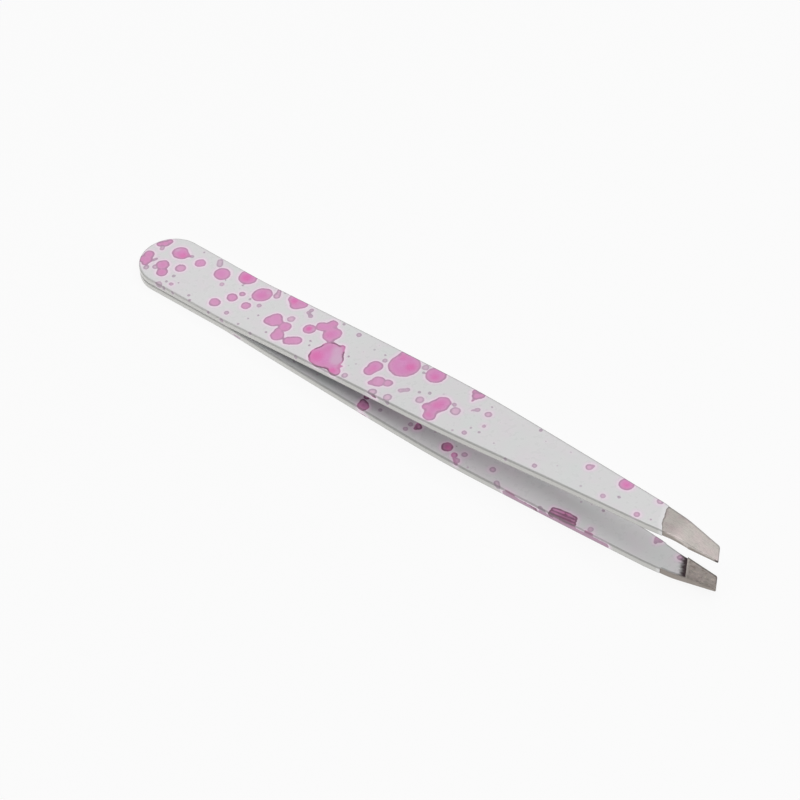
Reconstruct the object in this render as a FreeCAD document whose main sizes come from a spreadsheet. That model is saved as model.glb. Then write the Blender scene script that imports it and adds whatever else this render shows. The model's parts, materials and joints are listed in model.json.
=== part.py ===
import FreeCAD, Part
import math
import os
import Sketcher

# Slant tweezers: two sprung arms of stainless strip, spot-welded flat against each other at the
# round head, lacquered all over and left bare at the slanted jaws.
#
# The arms are modelled in the frame of the weld. X runs from the head to the jaws, Z = 0 is the
# plane where the two heels meet and Y = 0 is the middle of their width. The upper arm lies above
# that plane and the lower arm is its mirror image below it. The finished nodes are then placed as
# the tweezers lie on a table: on the end of the head and on the belly of the lower arm.
#
# Each arm is one strip that bends along its length. It is divided at the flexure line, where a
# straight-armed lever would turn to carry the jaws as the bent strip does: the heel stays with the
# weld and the blade turns.

SIZES = {
    # outline of an arm, seen from above
    "head_radius": 4.55,
    "grip_taper": 0.45,
    "shoulder_start": 48.5,
    "shoulder_radius": 200,
    "root_position": 85,
    "root_width": 4.15,
    "jaw_position": 97,
    "jaw_width": 1.33,
    # side profile of an arm, on its inner face
    "strip_gauge": 0.9,
    "heel_length": 17,
    "heel_bend_radius": 14,
    "splay_angle": 4.2,
    "bow_radius": 1200,
    "bow_end": 88,
    "jaw_bend_radius": 8,
    "jaw_cant": 10.5,
    "spare_length": 12,
    # jaws, measured along the middle of the arm
    "slant_angle": 29,
    "land_start": 90,
    "land_depth": 1.12,
    "tip_position": 94.45,
    "tip_depth": 0.5,
    "land_overrun": 1.5,
    # lacquer
    "coat": 0.07,
    "coat_end": 86.5,
    # spot welds
    "nugget_radius": 1.5,
    "nugget_depth": 0.5,
    "nugget_position": 5.5,
    "nugget_pitch": 6,
    # flexure line
    "flexure_position": 28.5,
    "flexure_gap": 0.05,
    # the blocks that divide the arms, larger than the tweezers
    "block_length": 120,
    "block_width": 20,
    "block_height": 40,
}

X_AXIS = FreeCAD.Vector(1, 0, 0)
Y_AXIS = FreeCAD.Vector(0, 1, 0)
Z_AXIS = FreeCAD.Vector(0, 0, 1)
ORIGIN_POINT = (-1, 1)
HORIZONTAL_AXIS = -1
START, END, CENTRE = 1, 2, 3

doc = FreeCAD.newDocument("slant_tweezers")


def make_sheet():
    sheet = doc.addObject("Spreadsheet::Sheet", "Sizes")
    for row, (alias, value) in enumerate(SIZES.items(), start=1):
        sheet.set(f"A{row}", alias)
        sheet.set(f"B{row}", str(value))
        sheet.setAlias(f"B{row}", alias)
    doc.recompute()


def vector(point):
    return FreeCAD.Vector(point[0], point[1], 0)


def arc(centre, radius, first, last):
    """A counter-clockwise arc in a sketch, with its end angles in radians."""
    circle = Part.Circle(vector(centre), FreeCAD.Vector(0, 0, 1), radius)
    return Part.ArcOfCircle(circle, first, last)


def line(start, end):
    return Part.LineSegment(vector(start), vector(end))


def along(point, distance, angle):
    """The point that is a distance away in the direction of an angle in radians."""
    return (point[0] + distance * math.cos(angle), point[1] + distance * math.sin(angle))


class Drawing:
    """A sketch whose dimensions follow the sheet."""

    def __init__(self, name):
        self.sketch = doc.addObject("Sketcher::SketchObject", name)

    def add(self, geometry):
        return self.sketch.addGeometry(geometry, False)

    def hold(self, kind, *references):
        self.sketch.addConstraint(Sketcher.Constraint(kind, *references))

    def size(self, kind, references, value, expression):
        """A dimension that starts at its value and follows the sheet."""
        index = self.sketch.addConstraint(Sketcher.Constraint(kind, *references, value))
        self.sketch.setExpression(f"Constraints[{index}]", expression)


def draw_outline():
    """The arm seen from above: a round head, a grip that narrows a little and a tapered point."""
    radius = SIZES["head_radius"]
    taper = math.radians(SIZES["grip_taper"])
    shoulder_radius = SIZES["shoulder_radius"]
    root = (SIZES["root_position"], SIZES["root_width"] / 2)
    jaw = (SIZES["jaw_position"], SIZES["jaw_width"] / 2)
    head_centre = (radius, 0)
    grip_start = along(head_centre, radius, math.pi / 2 - taper)
    grip_run = (SIZES["shoulder_start"] - grip_start[0]) / math.cos(taper)
    grip_end = along(grip_start, grip_run, -taper)
    shoulder = along(grip_end, shoulder_radius, -math.pi / 2 - taper)
    # the straight taper leaves the shoulder's arc where it points at the root of the jaw
    to_root = math.atan2(root[1] - shoulder[1], root[0] - shoulder[0])
    leave = to_root + math.acos(shoulder_radius / math.dist(shoulder, root))
    taper_start = along(shoulder, shoulder_radius, leave)

    drawing = Drawing("arm_outline")
    head = drawing.add(arc(head_centre, radius, math.pi / 2 - taper, 3 * math.pi / 2 + taper))
    drawing.size("Radius", (head,), radius, "Sizes.head_radius * 1 mm")
    drawing.hold("PointOnObject", head, CENTRE, HORIZONTAL_AXIS)
    drawing.size("DistanceX", (*ORIGIN_POINT, head, CENTRE), radius, "Sizes.head_radius * 1 mm")

    def mirrored(point, side):
        return (point[0], side * point[1])

    edges = []
    for side in (1, -1):
        grip = drawing.add(line(mirrored(grip_start, side), mirrored(grip_end, side)))
        angles = (leave, math.pi / 2 - taper) if side > 0 else (taper - math.pi / 2, -leave)
        bend = drawing.add(arc(mirrored(shoulder, side), shoulder_radius, *angles))
        point = drawing.add(line(mirrored(taper_start, side), mirrored(root, side)))
        beak = drawing.add(line(mirrored(root, side), mirrored(jaw, side)))
        bend_start, bend_end = (END, START) if side > 0 else (START, END)
        drawing.hold("Tangent", head, START if side > 0 else END, grip, START)
        drawing.hold("Tangent", grip, END, bend, bend_start)
        drawing.hold("Tangent", bend, bend_end, point, START)
        drawing.hold("Coincident", point, END, beak, START)
        edges.append((grip, bend, point, beak))
    (upper_grip, upper_bend, upper_point, upper_beak), (grip, bend, point, beak) = edges
    drawing.size("Radius", (upper_bend,), shoulder_radius, "Sizes.shoulder_radius * 1 mm")
    drawing.hold("Equal", upper_bend, bend)
    drawing.size("Angle", (grip, START, HORIZONTAL_AXIS, START), -taper, "-Sizes.grip_taper * 1 deg")
    drawing.size(
        "DistanceX", (*ORIGIN_POINT, grip, END), SIZES["shoulder_start"], "Sizes.shoulder_start * 1 mm"
    )
    drawing.hold("Symmetric", upper_grip, END, grip, END, HORIZONTAL_AXIS)
    for edge, place, name in ((upper_point, root, "root"), (upper_beak, jaw, "jaw")):
        drawing.size("DistanceX", (*ORIGIN_POINT, edge, END), place[0], f"Sizes.{name}_position * 1 mm")
        drawing.size("DistanceY", (*ORIGIN_POINT, edge, END), place[1], f"Sizes.{name}_width * 0.5 mm")
    drawing.hold("Symmetric", upper_point, END, point, END, HORIZONTAL_AXIS)
    drawing.hold("Symmetric", upper_beak, END, beak, END, HORIZONTAL_AXIS)
    end = drawing.add(line(jaw, mirrored(jaw, -1)))
    drawing.hold("Coincident", end, START, upper_beak, END)
    drawing.hold("Coincident", end, END, beak, END)
    return drawing.sketch


class Spine:
    """The bends of the strip's inner face: their centres, radii and the directions between them."""

    heel_end = (SIZES["heel_length"], 0)
    splay = math.radians(SIZES["splay_angle"])
    cant = math.radians(SIZES["jaw_cant"])
    heel_radius = SIZES["heel_bend_radius"]
    bow_radius = SIZES["bow_radius"]
    jaw_radius = SIZES["jaw_bend_radius"]
    heel_centre = along(heel_end, heel_radius, math.pi / 2)
    bow_centre = along(heel_centre, heel_radius + bow_radius, splay - math.pi / 2)
    bow_close = math.asin((bow_centre[0] - SIZES["bow_end"]) / bow_radius)
    jaw_centre = along(bow_centre, bow_radius - jaw_radius, math.pi / 2 + bow_close)

    @classmethod
    def jaw_line(cls, depth, position):
        """The point of the canted jaw, a depth outside the inner face, at a position along X."""
        start = along(cls.jaw_centre, cls.jaw_radius + depth, math.pi / 2 - cls.cant)
        return along(start, (position - start[0]) / math.cos(cls.cant), -cls.cant)

    @classmethod
    def bow_point(cls, depth, position):
        """The point of the bowed blade, a depth outside the inner face, at a position along X."""
        radius = cls.bow_radius + depth
        angle = math.acos((position - cls.bow_centre[0]) / radius)
        return along(cls.bow_centre, radius, angle)


def draw_profile(arm, placement):
    """The strip from the side: a flat heel, a splay bend, a long bow and a canted jaw."""
    gauge = SIZES["strip_gauge"]
    spare_end = SIZES["tip_position"] + SIZES["spare_length"]
    drawing = Drawing(f"{arm}_profile")
    faces = []
    for depth in (0, gauge):
        heel_start = (0, depth)
        heel_end = (SIZES["heel_length"], depth)
        jaw_start = along(Spine.jaw_centre, Spine.jaw_radius + depth, math.pi / 2 - Spine.cant)
        jaw_end = along(jaw_start, (spare_end - jaw_start[0]) / math.cos(Spine.cant), -Spine.cant)
        heel = drawing.add(line(heel_start, heel_end))
        splay = drawing.add(
            arc(Spine.heel_centre, Spine.heel_radius - depth, -math.pi / 2, Spine.splay - math.pi / 2)
        )
        bow = drawing.add(
            arc(
                Spine.bow_centre,
                Spine.bow_radius + depth,
                math.pi / 2 + Spine.bow_close,
                math.pi / 2 + Spine.splay,
            )
        )
        knuckle = drawing.add(
            arc(
                Spine.jaw_centre,
                Spine.jaw_radius + depth,
                math.pi / 2 - Spine.cant,
                math.pi / 2 + Spine.bow_close,
            )
        )
        jaw = drawing.add(line(jaw_start, jaw_end))
        drawing.hold("Horizontal", heel)
        drawing.hold("Tangent", heel, END, splay, START)
        drawing.hold("Tangent", splay, END, bow, END)
        drawing.hold("Tangent", bow, START, knuckle, END)
        drawing.hold("Tangent", knuckle, START, jaw, START)
        faces.append((heel, splay, bow, knuckle, jaw, jaw_end))
    inner, outer = faces
    heel, splay, bow, knuckle, jaw, jaw_end = inner
    drawing.hold("Coincident", heel, START, *ORIGIN_POINT)
    for bend in (1, 2, 3):
        drawing.hold("Coincident", inner[bend], CENTRE, outer[bend], CENTRE)
    drawing.size("DistanceX", (*ORIGIN_POINT, heel, END), SIZES["heel_length"], "Sizes.heel_length * 1 mm")
    drawing.size("Radius", (splay,), Spine.heel_radius, "Sizes.heel_bend_radius * 1 mm")
    drawing.size("Radius", (bow,), Spine.bow_radius, "Sizes.bow_radius * 1 mm")
    drawing.size("Radius", (knuckle,), Spine.jaw_radius, "Sizes.jaw_bend_radius * 1 mm")
    drawing.size(
        "DistanceX",
        (*ORIGIN_POINT, splay, END),
        SIZES["heel_length"] + Spine.heel_radius * math.sin(Spine.splay),
        "(Sizes.heel_length + Sizes.heel_bend_radius * sin(Sizes.splay_angle * 1 deg)) * 1 mm",
    )
    drawing.size("DistanceX", (*ORIGIN_POINT, bow, START), SIZES["bow_end"], "Sizes.bow_end * 1 mm")
    drawing.size("Angle", (jaw, START, HORIZONTAL_AXIS, START), Spine.cant, "Sizes.jaw_cant * 1 deg")
    drawing.size(
        "DistanceX",
        (*ORIGIN_POINT, jaw, END),
        spare_end,
        "(Sizes.tip_position + Sizes.spare_length) * 1 mm",
    )
    head_end = drawing.add(line((0, 0), (0, gauge)))
    drawing.hold("Coincident", head_end, START, heel, START)
    drawing.hold("Coincident", head_end, END, outer[0], START)
    drawing.hold("Vertical", head_end)
    drawing.size("DistanceY", (head_end, START, head_end, END), gauge, "Sizes.strip_gauge * 1 mm")
    jaw_cap = drawing.add(line(jaw_end, outer[5]))
    drawing.hold("Coincident", jaw_cap, START, jaw, END)
    drawing.hold("Coincident", jaw_cap, END, outer[4], END)
    drawing.hold("Perpendicular", jaw_cap, jaw)
    drawing.hold("Parallel", outer[4], jaw)
    drawing.sketch.Placement = placement
    return drawing.sketch


def add(kind, name, **expressions):
    """A feature whose sizes follow the sheet."""
    feature = doc.addObject(kind, name)
    for size, expression in expressions.items():
        feature.setExpression(size, expression)
    return feature


def extruded(name, base, direction, length):
    prism = add("Part::Extrusion", name, LengthFwd=length)
    prism.Base = base
    prism.DirMode = "Custom"
    prism.Dir = direction
    prism.Symmetric = True
    prism.Solid = True
    return prism


def coated(name, sketch):
    """A sketch grown by the thickness of the lacquer."""
    grown = add("Part::Offset2D", name, Value="Sizes.coat * 1 mm")
    grown.Source = sketch
    grown.Join = "Intersection"
    return grown


def cut(name, base, tool):
    feature = doc.addObject("Part::Cut", name)
    feature.Base = base
    feature.Tool = tool
    return feature


def common(name, *shapes):
    feature = doc.addObject("Part::MultiCommon", name)
    feature.Shapes = list(shapes)
    return feature


def fused(name, *shapes):
    feature = doc.addObject("Part::MultiFuse", name)
    feature.Shapes = list(shapes)
    feature.Refine = True
    return feature


def mirrored(feature):
    """The lower arm's likeness of a feature of the upper arm."""
    mirror = doc.addObject("Part::Mirroring", feature.Name.replace("upper", "lower"))
    mirror.Source = feature
    mirror.Normal = Z_AXIS
    return mirror


def block(name, start, length="Sizes.block_length * 1 mm", slant=0):
    """A tall block that starts at a position along X, square to the arm or at the jaws' slant."""
    feature = add(
        "Part::Box",
        name,
        Length=length,
        Width="Sizes.block_width * 1 mm",
        Height="Sizes.block_height * 1 mm",
    )
    turn = FreeCAD.Rotation(Z_AXIS, slant)
    corner = turn.multVec(FreeCAD.Vector(0, -SIZES["block_width"] / 2, -SIZES["block_height"] / 2))
    feature.Placement = FreeCAD.Placement(FreeCAD.Vector(start, 0, 0) + corner, turn)
    return feature


def make_land():
    """The pad on the inside of the jaw: a wedge between the jaw's outer face and its ground land."""
    run = "((Sizes.tip_position - Sizes.land_start) / cos(Sizes.jaw_cant * 1 deg))"
    rise = f"((Sizes.land_depth - Sizes.tip_depth) / {run} * Sizes.land_overrun)"
    wedge = add(
        "Part::Wedge",
        "land_wedge",
        Xmin="-Sizes.block_width * 0.5 mm",
        Xmax="Sizes.block_width * 0.5 mm",
        X2min="-Sizes.block_width * 0.5 mm",
        X2max="Sizes.block_width * 0.5 mm",
        Ymin="-Sizes.land_overrun * 1 mm",
        Ymax=f"({run} + Sizes.land_overrun) * 1 mm",
        Zmax=f"(Sizes.land_depth + {rise}) * 1 mm",
        Z2max=f"(Sizes.tip_depth - {rise}) * 1 mm",
    )
    wedge.Zmin = 0
    wedge.Z2min = 0
    start = Spine.jaw_line(SIZES["strip_gauge"], SIZES["land_start"])
    forward = FreeCAD.Vector(math.cos(Spine.cant), 0, -math.sin(Spine.cant))
    inward = FreeCAD.Vector(-math.sin(Spine.cant), 0, -math.cos(Spine.cant))
    turn = FreeCAD.Rotation(Y_AXIS, forward, inward, "ZYX")
    wedge.Placement = FreeCAD.Placement(FreeCAD.Vector(start[0], 0, start[1]), turn)
    return wedge


def make_arm(outline, profile, land_block, tip_block):
    """The whole upper arm in steel: the bent strip, its land, and the outline that it is cut to."""
    strip = extruded("upper_strip", profile, Y_AXIS, "Sizes.block_width * 1 mm")
    shank = cut("upper_shank", strip, land_block)
    land = common("upper_land", make_land(), land_block)
    blank = extruded("arm_blank", outline, Z_AXIS, "Sizes.block_height * 1 mm")
    shaped = common("upper_shaped", blank, fused("upper_bent", shank, land))
    return strip, cut("upper_arm", shaped, tip_block)


def make_coated_arm(outline, profile, strip):
    """The upper arm with its lacquer, as one solid, and the lip of lacquer up to the land."""
    coat_strip = extruded(
        "upper_coat_strip", coated("upper_coat_profile", profile), Y_AXIS, "Sizes.block_width * 1 mm"
    )
    coat_blank = extruded(
        "coat_blank", coated("coat_outline", outline), Z_AXIS, "Sizes.block_height * 1 mm"
    )
    wrapped = common("upper_wrapped", coat_blank, coat_strip)
    bare_block = block("bare_block", SIZES["coat_end"], slant=SIZES["slant_angle"])
    lip_block = block(
        "lip_block",
        SIZES["coat_end"],
        "(Sizes.land_start - Sizes.coat_end) * cos(Sizes.slant_angle * 1 deg) * 1 mm",
        SIZES["slant_angle"],
    )
    # the lip lies inside the arm, so its block stops at the middle of the strip
    middle = Spine.bow_point(SIZES["strip_gauge"] / 2, SIZES["coat_end"])[1]
    lip_block.Placement.Base.z = middle - SIZES["block_height"]
    lip = cut("upper_lip", common("upper_lip_coat", wrapped, lip_block), strip)
    return cut("upper_coated", wrapped, bare_block), lip


def make_nodes():
    """Every piece of the tweezers, in the frame of the weld, by the name of its node."""
    slant = SIZES["slant_angle"]
    profile_plane = FreeCAD.Placement(FreeCAD.Vector(), FreeCAD.Rotation(X_AXIS, 90))
    outline = draw_outline()
    profile = draw_profile("upper", profile_plane)
    land_block = block("land_block", SIZES["land_start"], slant=slant)
    tip_block = block("tip_block", SIZES["tip_position"], slant=slant)
    half_gap = SIZES["flexure_gap"] / 2
    head_block = block("head_block", SIZES["flexure_position"] - half_gap - SIZES["block_length"])
    blade_block = block("blade_block", SIZES["flexure_position"] + half_gap)

    strip, upper_arm = make_arm(outline, profile, land_block, tip_block)
    upper_coated, upper_lip = make_coated_arm(outline, profile, strip)
    arms = {"upper": upper_arm, "lower": mirrored(upper_arm)}
    coats = {"upper": upper_coated, "lower": mirrored(upper_coated)}
    lips = {"upper": upper_lip, "lower": mirrored(upper_lip)}

    nuggets = []
    for number in (1, 2):
        nugget = add(
            "Part::Cylinder",
            f"nugget_{number}",
            Radius="Sizes.nugget_radius * 1 mm",
            Height="Sizes.nugget_depth * 1 mm",
        )
        position = SIZES["nugget_position"] + (number - 1) * SIZES["nugget_pitch"]
        nugget.Placement.Base = FreeCAD.Vector(position, 0, -SIZES["nugget_depth"] / 2)
        nuggets.append(nugget)
    welds = doc.addObject("Part::Compound", "heel_welds")
    welds.Links = nuggets
    weld_pockets = fused("weld_pockets", *nuggets)

    nodes = {"heel_welds": welds}
    for side, arm in arms.items():
        heel = common(f"{side}_heel_blank", arm, head_block)
        nodes[f"{side}_arm_heel"] = cut(f"{side}_arm_heel", heel, weld_pockets)
        nodes[f"{side}_arm_blade"] = common(f"{side}_arm_blade", arm, blade_block)
        shell = cut(f"{side}_blade_shell", common(f"{side}_coated_blade", coats[side], blade_block), arm)
        nodes[f"{side}_blade_lacquer"] = fused(f"{side}_blade_lacquer", shell, lips[side])
    coated_head = common("coated_head", fused("coated_arms", *coats.values()), head_block)
    nodes["head_lacquer"] = cut("head_lacquer", coated_head, fused("bare_arms", *arms.values()))
    return nodes


def resting_turn():
    """How far the weld plane leans from the head up to the jaws, as the tweezers lie on a table."""
    surface = SIZES["strip_gauge"] + SIZES["coat"]
    head_edge = (-SIZES["coat"], surface)
    reach = math.dist(head_edge, Spine.bow_centre)
    down = math.atan2(Spine.bow_centre[1] - head_edge[1], Spine.bow_centre[0] - head_edge[0])
    return down + math.asin((Spine.bow_radius + surface) / reach)


def place(nodes):
    """Lay the tweezers on the table, centred over the origin."""
    turn = FreeCAD.Rotation(Y_AXIS, -math.degrees(resting_turn()))
    whole = Part.makeCompound([node.Shape for node in nodes.values()])
    whole.Placement = FreeCAD.Placement(FreeCAD.Vector(), turn)
    box = whole.optimalBoundingBox(False)
    move = FreeCAD.Vector(-box.Center.x, -box.Center.y, -box.ZMin)
    rest = FreeCAD.Placement(move, turn)
    for name, node in nodes.items():
        node.Label = name
        node.Placement = rest
    doc.recompute()
    return rest


def check(nodes):
    for feature in doc.Objects:
        if {"Invalid", "Error"} & set(feature.State):
            raise RuntimeError(f"{feature.Name} is {feature.State}")
    for name, node in nodes.items():
        if node.Shape.isNull() or not node.Shape.isValid() or not node.Shape.Solids:
            raise RuntimeError(f"{name} has no valid solid")


def report(nodes, rest):
    """Print what a user of the part needs: the pieces, the flexure lines and the rest position."""
    for name, node in nodes.items():
        box = node.Shape.optimalBoundingBox(False)
        print(
            f"{name}: {len(node.Shape.Solids)} solids, {node.Shape.Volume:.3f} mm3,"
            f" X {box.XMin:.3f} to {box.XMax:.3f}, Y {box.YMin:.3f} to {box.YMax:.3f},"
            f" Z {box.ZMin:.3f} to {box.ZMax:.3f}"
        )
    x, z = Spine.bow_point(SIZES["strip_gauge"] / 2, SIZES["flexure_position"])
    for side, sign in (("upper", 1), ("lower", -1)):
        pivot = rest.multVec(FreeCAD.Vector(x, 0, sign * z))
        print(f"{side} flexure line through {pivot.x:.4f}, {pivot.y:.4f}, {pivot.z:.4f}")
    print(f"the weld plane leans {math.degrees(resting_turn()):.4f} degrees")


def main():
    make_sheet()
    nodes = make_nodes()
    doc.recompute()
    check(nodes)
    rest = place(nodes)
    check(nodes)
    report(nodes, rest)
    os.makedirs("parts", exist_ok=True)
    for name, node in nodes.items():
        node.Shape.exportStep(f"parts/{name}.step")


main()
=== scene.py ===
import json
import math

import bmesh
import bpy
import numpy as np
from mathutils import Matrix, Vector


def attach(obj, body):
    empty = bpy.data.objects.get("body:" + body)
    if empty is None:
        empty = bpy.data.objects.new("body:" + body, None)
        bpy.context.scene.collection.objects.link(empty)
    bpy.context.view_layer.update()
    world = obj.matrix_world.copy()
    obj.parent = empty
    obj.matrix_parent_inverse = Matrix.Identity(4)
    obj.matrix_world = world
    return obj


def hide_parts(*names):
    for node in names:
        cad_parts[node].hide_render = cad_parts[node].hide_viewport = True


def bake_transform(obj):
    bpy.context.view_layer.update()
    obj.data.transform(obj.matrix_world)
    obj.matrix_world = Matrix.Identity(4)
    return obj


# Slant tweezers: two lacquered, bowed arms with a splatter of pink droplets, and bare steel jaws.
#
# Shapes are worked out in millimetres in the frame of the weld: X runs from the head to the jaws,
# Z = 0 is the plane where the two arms meet and Y = 0 is the middle of their width. The upper arm
# is made there, the lower arm is its mirror image, and both are then placed in the CAD frame.

MM = 0.001

# the outline of an arm, seen from above
HEAD_RADIUS = 4.55
GRIP_TAPER = math.radians(0.45)
SHOULDER_START = 48.5
SHOULDER_RADIUS = 200
ROOT = (85, 2.075)
JAW = (97, 0.665)

# its side profile, on the inner face
GAUGE = 0.9
HEEL_LENGTH = 17
HEEL_RADIUS = 14
SPLAY = math.radians(4.2)
BOW_RADIUS = 1200
BOW_END = 88
KNUCKLE_RADIUS = 8
CANT = math.radians(10.5)

# the jaws
SLANT = math.tan(math.radians(29))
LAND_START = 90
LAND_DEPTH = 1.12
TIP = 94.45
TIP_DEPTH = 0.5
TIP_CORNER = 0.22
JAW_START = 83.5
STEEL_EDGE = 0.06

# the lacquer: its thickness, its rounding, and the stretch over which it thins and by how much
COAT = 0.07
COAT_EDGE = 0.16
COAT_FADE = 0.12
COAT_THINNED = 0.8

# where it ends on the outer face, the slant and curve of that line, its two waves, each with its
# height, its rate and its shift, and from where the cross-sections lean towards it
LACQUER_END = 86.2
COAT_SLANT = 0.42
COAT_CURVE = 0.06
COAT_WAVES = ((0.05, 3.1, 0.8), (0.03, 8.3, 0.0))
SHEAR_START = 70

# the seam between the arms, and how deep the lip's root lies in the steel
SEAM_CLEARANCE = 0.004
LIP_ROOT = 0.02

# how far up the sides of the upper jaw the painted shade reaches at four places along it: the end
# of the coat, both sides of the step to the land and the tip
SIDE_SHADE_PLACES = (LACQUER_END, LAND_START, LAND_START + 0.2, TIP)
SIDE_SHADE_LEVELS = (1.3, 0.35, 0.75, 0.65)
SIDE_SHADE_FADE = 0.3

# where the narrow part of the gap between the arms shades them, along an arm and from its border
GAP_SHADE = (60, 26)
GAP_SHADE_DEPTH = (-0.3, 1.5)

# the middle of the mounts' faces
MOUNT_POSITION = 8.5

# mesh spacing: rows go round a cross-section, and stations are cross-sections
FACE_ROWS = 44
ROUND_ROWS = 5
SIDE_ROWS = 4
JAW_ROWS = 30
STEP = 0.2
HEAD_STATIONS = 38
FADE_STATIONS = 5
LIP_STATIONS = 20
LIP_CROWDING = 0.8
JAW_ROOT_STATIONS = 34
BEAK_STATIONS = 24
TIP_STATIONS = 8
MERGE_DISTANCE = 1e-7
SHARP_ANGLE = math.radians(40)

# the lower arm takes the textures from another place
LOWER_TEXTURE_SHIFT = (0, 0, 40)

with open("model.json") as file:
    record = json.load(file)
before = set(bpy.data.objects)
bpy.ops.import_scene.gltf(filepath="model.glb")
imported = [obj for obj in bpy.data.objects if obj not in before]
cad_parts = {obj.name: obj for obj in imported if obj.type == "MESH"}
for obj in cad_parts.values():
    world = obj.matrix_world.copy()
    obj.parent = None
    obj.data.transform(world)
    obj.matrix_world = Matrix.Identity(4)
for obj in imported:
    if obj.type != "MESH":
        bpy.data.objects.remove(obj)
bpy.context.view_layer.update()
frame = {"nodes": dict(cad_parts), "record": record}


# ---------------------------------------------------------------- the arm's curves

class Outline:
    """Half the width of an arm at a position along X, grown outwards by a depth of lacquer."""

    normal = (math.sin(GRIP_TAPER), math.cos(GRIP_TAPER))
    grip_end = (HEAD_RADIUS - (SHOULDER_START - HEAD_RADIUS) * normal[0]) / normal[1]
    shoulder = (SHOULDER_START - SHOULDER_RADIUS * normal[0], grip_end - SHOULDER_RADIUS * normal[1])
    to_root = (ROOT[0] - shoulder[0], ROOT[1] - shoulder[1])
    leave = math.atan2(to_root[1], to_root[0]) + math.acos(SHOULDER_RADIUS / math.hypot(*to_root))

    @classmethod
    def half_width(cls, x, grown=0.0):
        grip = (HEAD_RADIUS + grown - (x - HEAD_RADIUS) * cls.normal[0]) / cls.normal[1]
        radius = SHOULDER_RADIUS + grown
        bend = cls.shoulder[1] + np.sqrt(radius**2 - (x - cls.shoulder[0]) ** 2)
        beyond = radius - (x - cls.shoulder[0]) * math.cos(cls.leave)
        point = cls.shoulder[1] + beyond / math.sin(cls.leave)
        run, drop = JAW[0] - ROOT[0], ROOT[1] - JAW[1]
        beak = ROOT[1] + (grown * math.hypot(run, drop) - (x - ROOT[0]) * drop) / run
        leave_x = cls.shoulder[0] + radius * math.cos(cls.leave)
        tapered = np.where(x < leave_x, bend, np.minimum(point, beak))
        return np.where(x < SHOULDER_START, grip, tapered)


class Profile:
    """The height of an arm at a position along X, at a depth outside its inner face."""

    bow = (
        HEEL_LENGTH + (HEEL_RADIUS + BOW_RADIUS) * math.sin(SPLAY),
        HEEL_RADIUS - (HEEL_RADIUS + BOW_RADIUS) * math.cos(SPLAY),
    )
    close = math.asin((bow[0] - BOW_END) / BOW_RADIUS)
    knuckle = (
        bow[0] - (BOW_RADIUS - KNUCKLE_RADIUS) * math.sin(close),
        bow[1] + (BOW_RADIUS - KNUCKLE_RADIUS) * math.cos(close),
    )

    @classmethod
    def height(cls, x, depth):
        x, depth = np.broadcast_arrays(np.asarray(x, float), np.asarray(depth, float))
        splay_radius = HEEL_RADIUS - depth
        bow_radius = BOW_RADIUS + depth
        knuckle_radius = KNUCKLE_RADIUS + depth
        splay_end = HEEL_LENGTH + splay_radius * math.sin(SPLAY)
        bow_end = cls.bow[0] - bow_radius * math.sin(cls.close)
        knuckle_end = cls.knuckle[0] + knuckle_radius * math.sin(CANT)

        def arc(centre, radius):
            return np.sqrt(np.maximum(radius**2 - (x - centre) ** 2, 0))

        splay = HEEL_RADIUS - arc(HEEL_LENGTH, splay_radius)
        bow = cls.bow[1] + arc(cls.bow[0], bow_radius)
        knuckle = cls.knuckle[1] + arc(cls.knuckle[0], knuckle_radius)
        jaw = cls.knuckle[1] + knuckle_radius * math.cos(CANT) - (x - knuckle_end) * math.tan(CANT)
        places = [x < HEEL_LENGTH, x < splay_end, x < bow_end, x < knuckle_end]
        return np.select(places, [depth, splay, bow, knuckle], jaw)


def land_height(x):
    """The ground land on the inside of the jaw: a plane that closes on the outer face to the tip."""
    ends = []
    for position, depth in ((LAND_START, LAND_DEPTH), (TIP, TIP_DEPTH)):
        outer = float(Profile.height(position, GAUGE))
        ends.append((position - depth * math.sin(CANT), outer - depth * math.cos(CANT)))
    (x0, z0), (x1, z1) = ends
    return z0 + (x - x0) * (z1 - z0) / (x1 - x0)


def lacquer_end(y):
    """Where the lacquer ends on the outer face and the sides: a slanted, slightly curved line."""
    waves = sum(height * np.sin(rate * y + shift) for height, rate, shift in COAT_WAVES)
    return LACQUER_END - COAT_SLANT * y + COAT_CURVE * y**2 + waves


def smooth_step(value, start, end):
    """A smooth step from 0 at start to 1 at end."""
    share = np.clip((value - start) / (end - start), 0, 1)
    return share * share * (3 - 2 * share)


# ---------------------------------------------------------------- meshes

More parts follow.
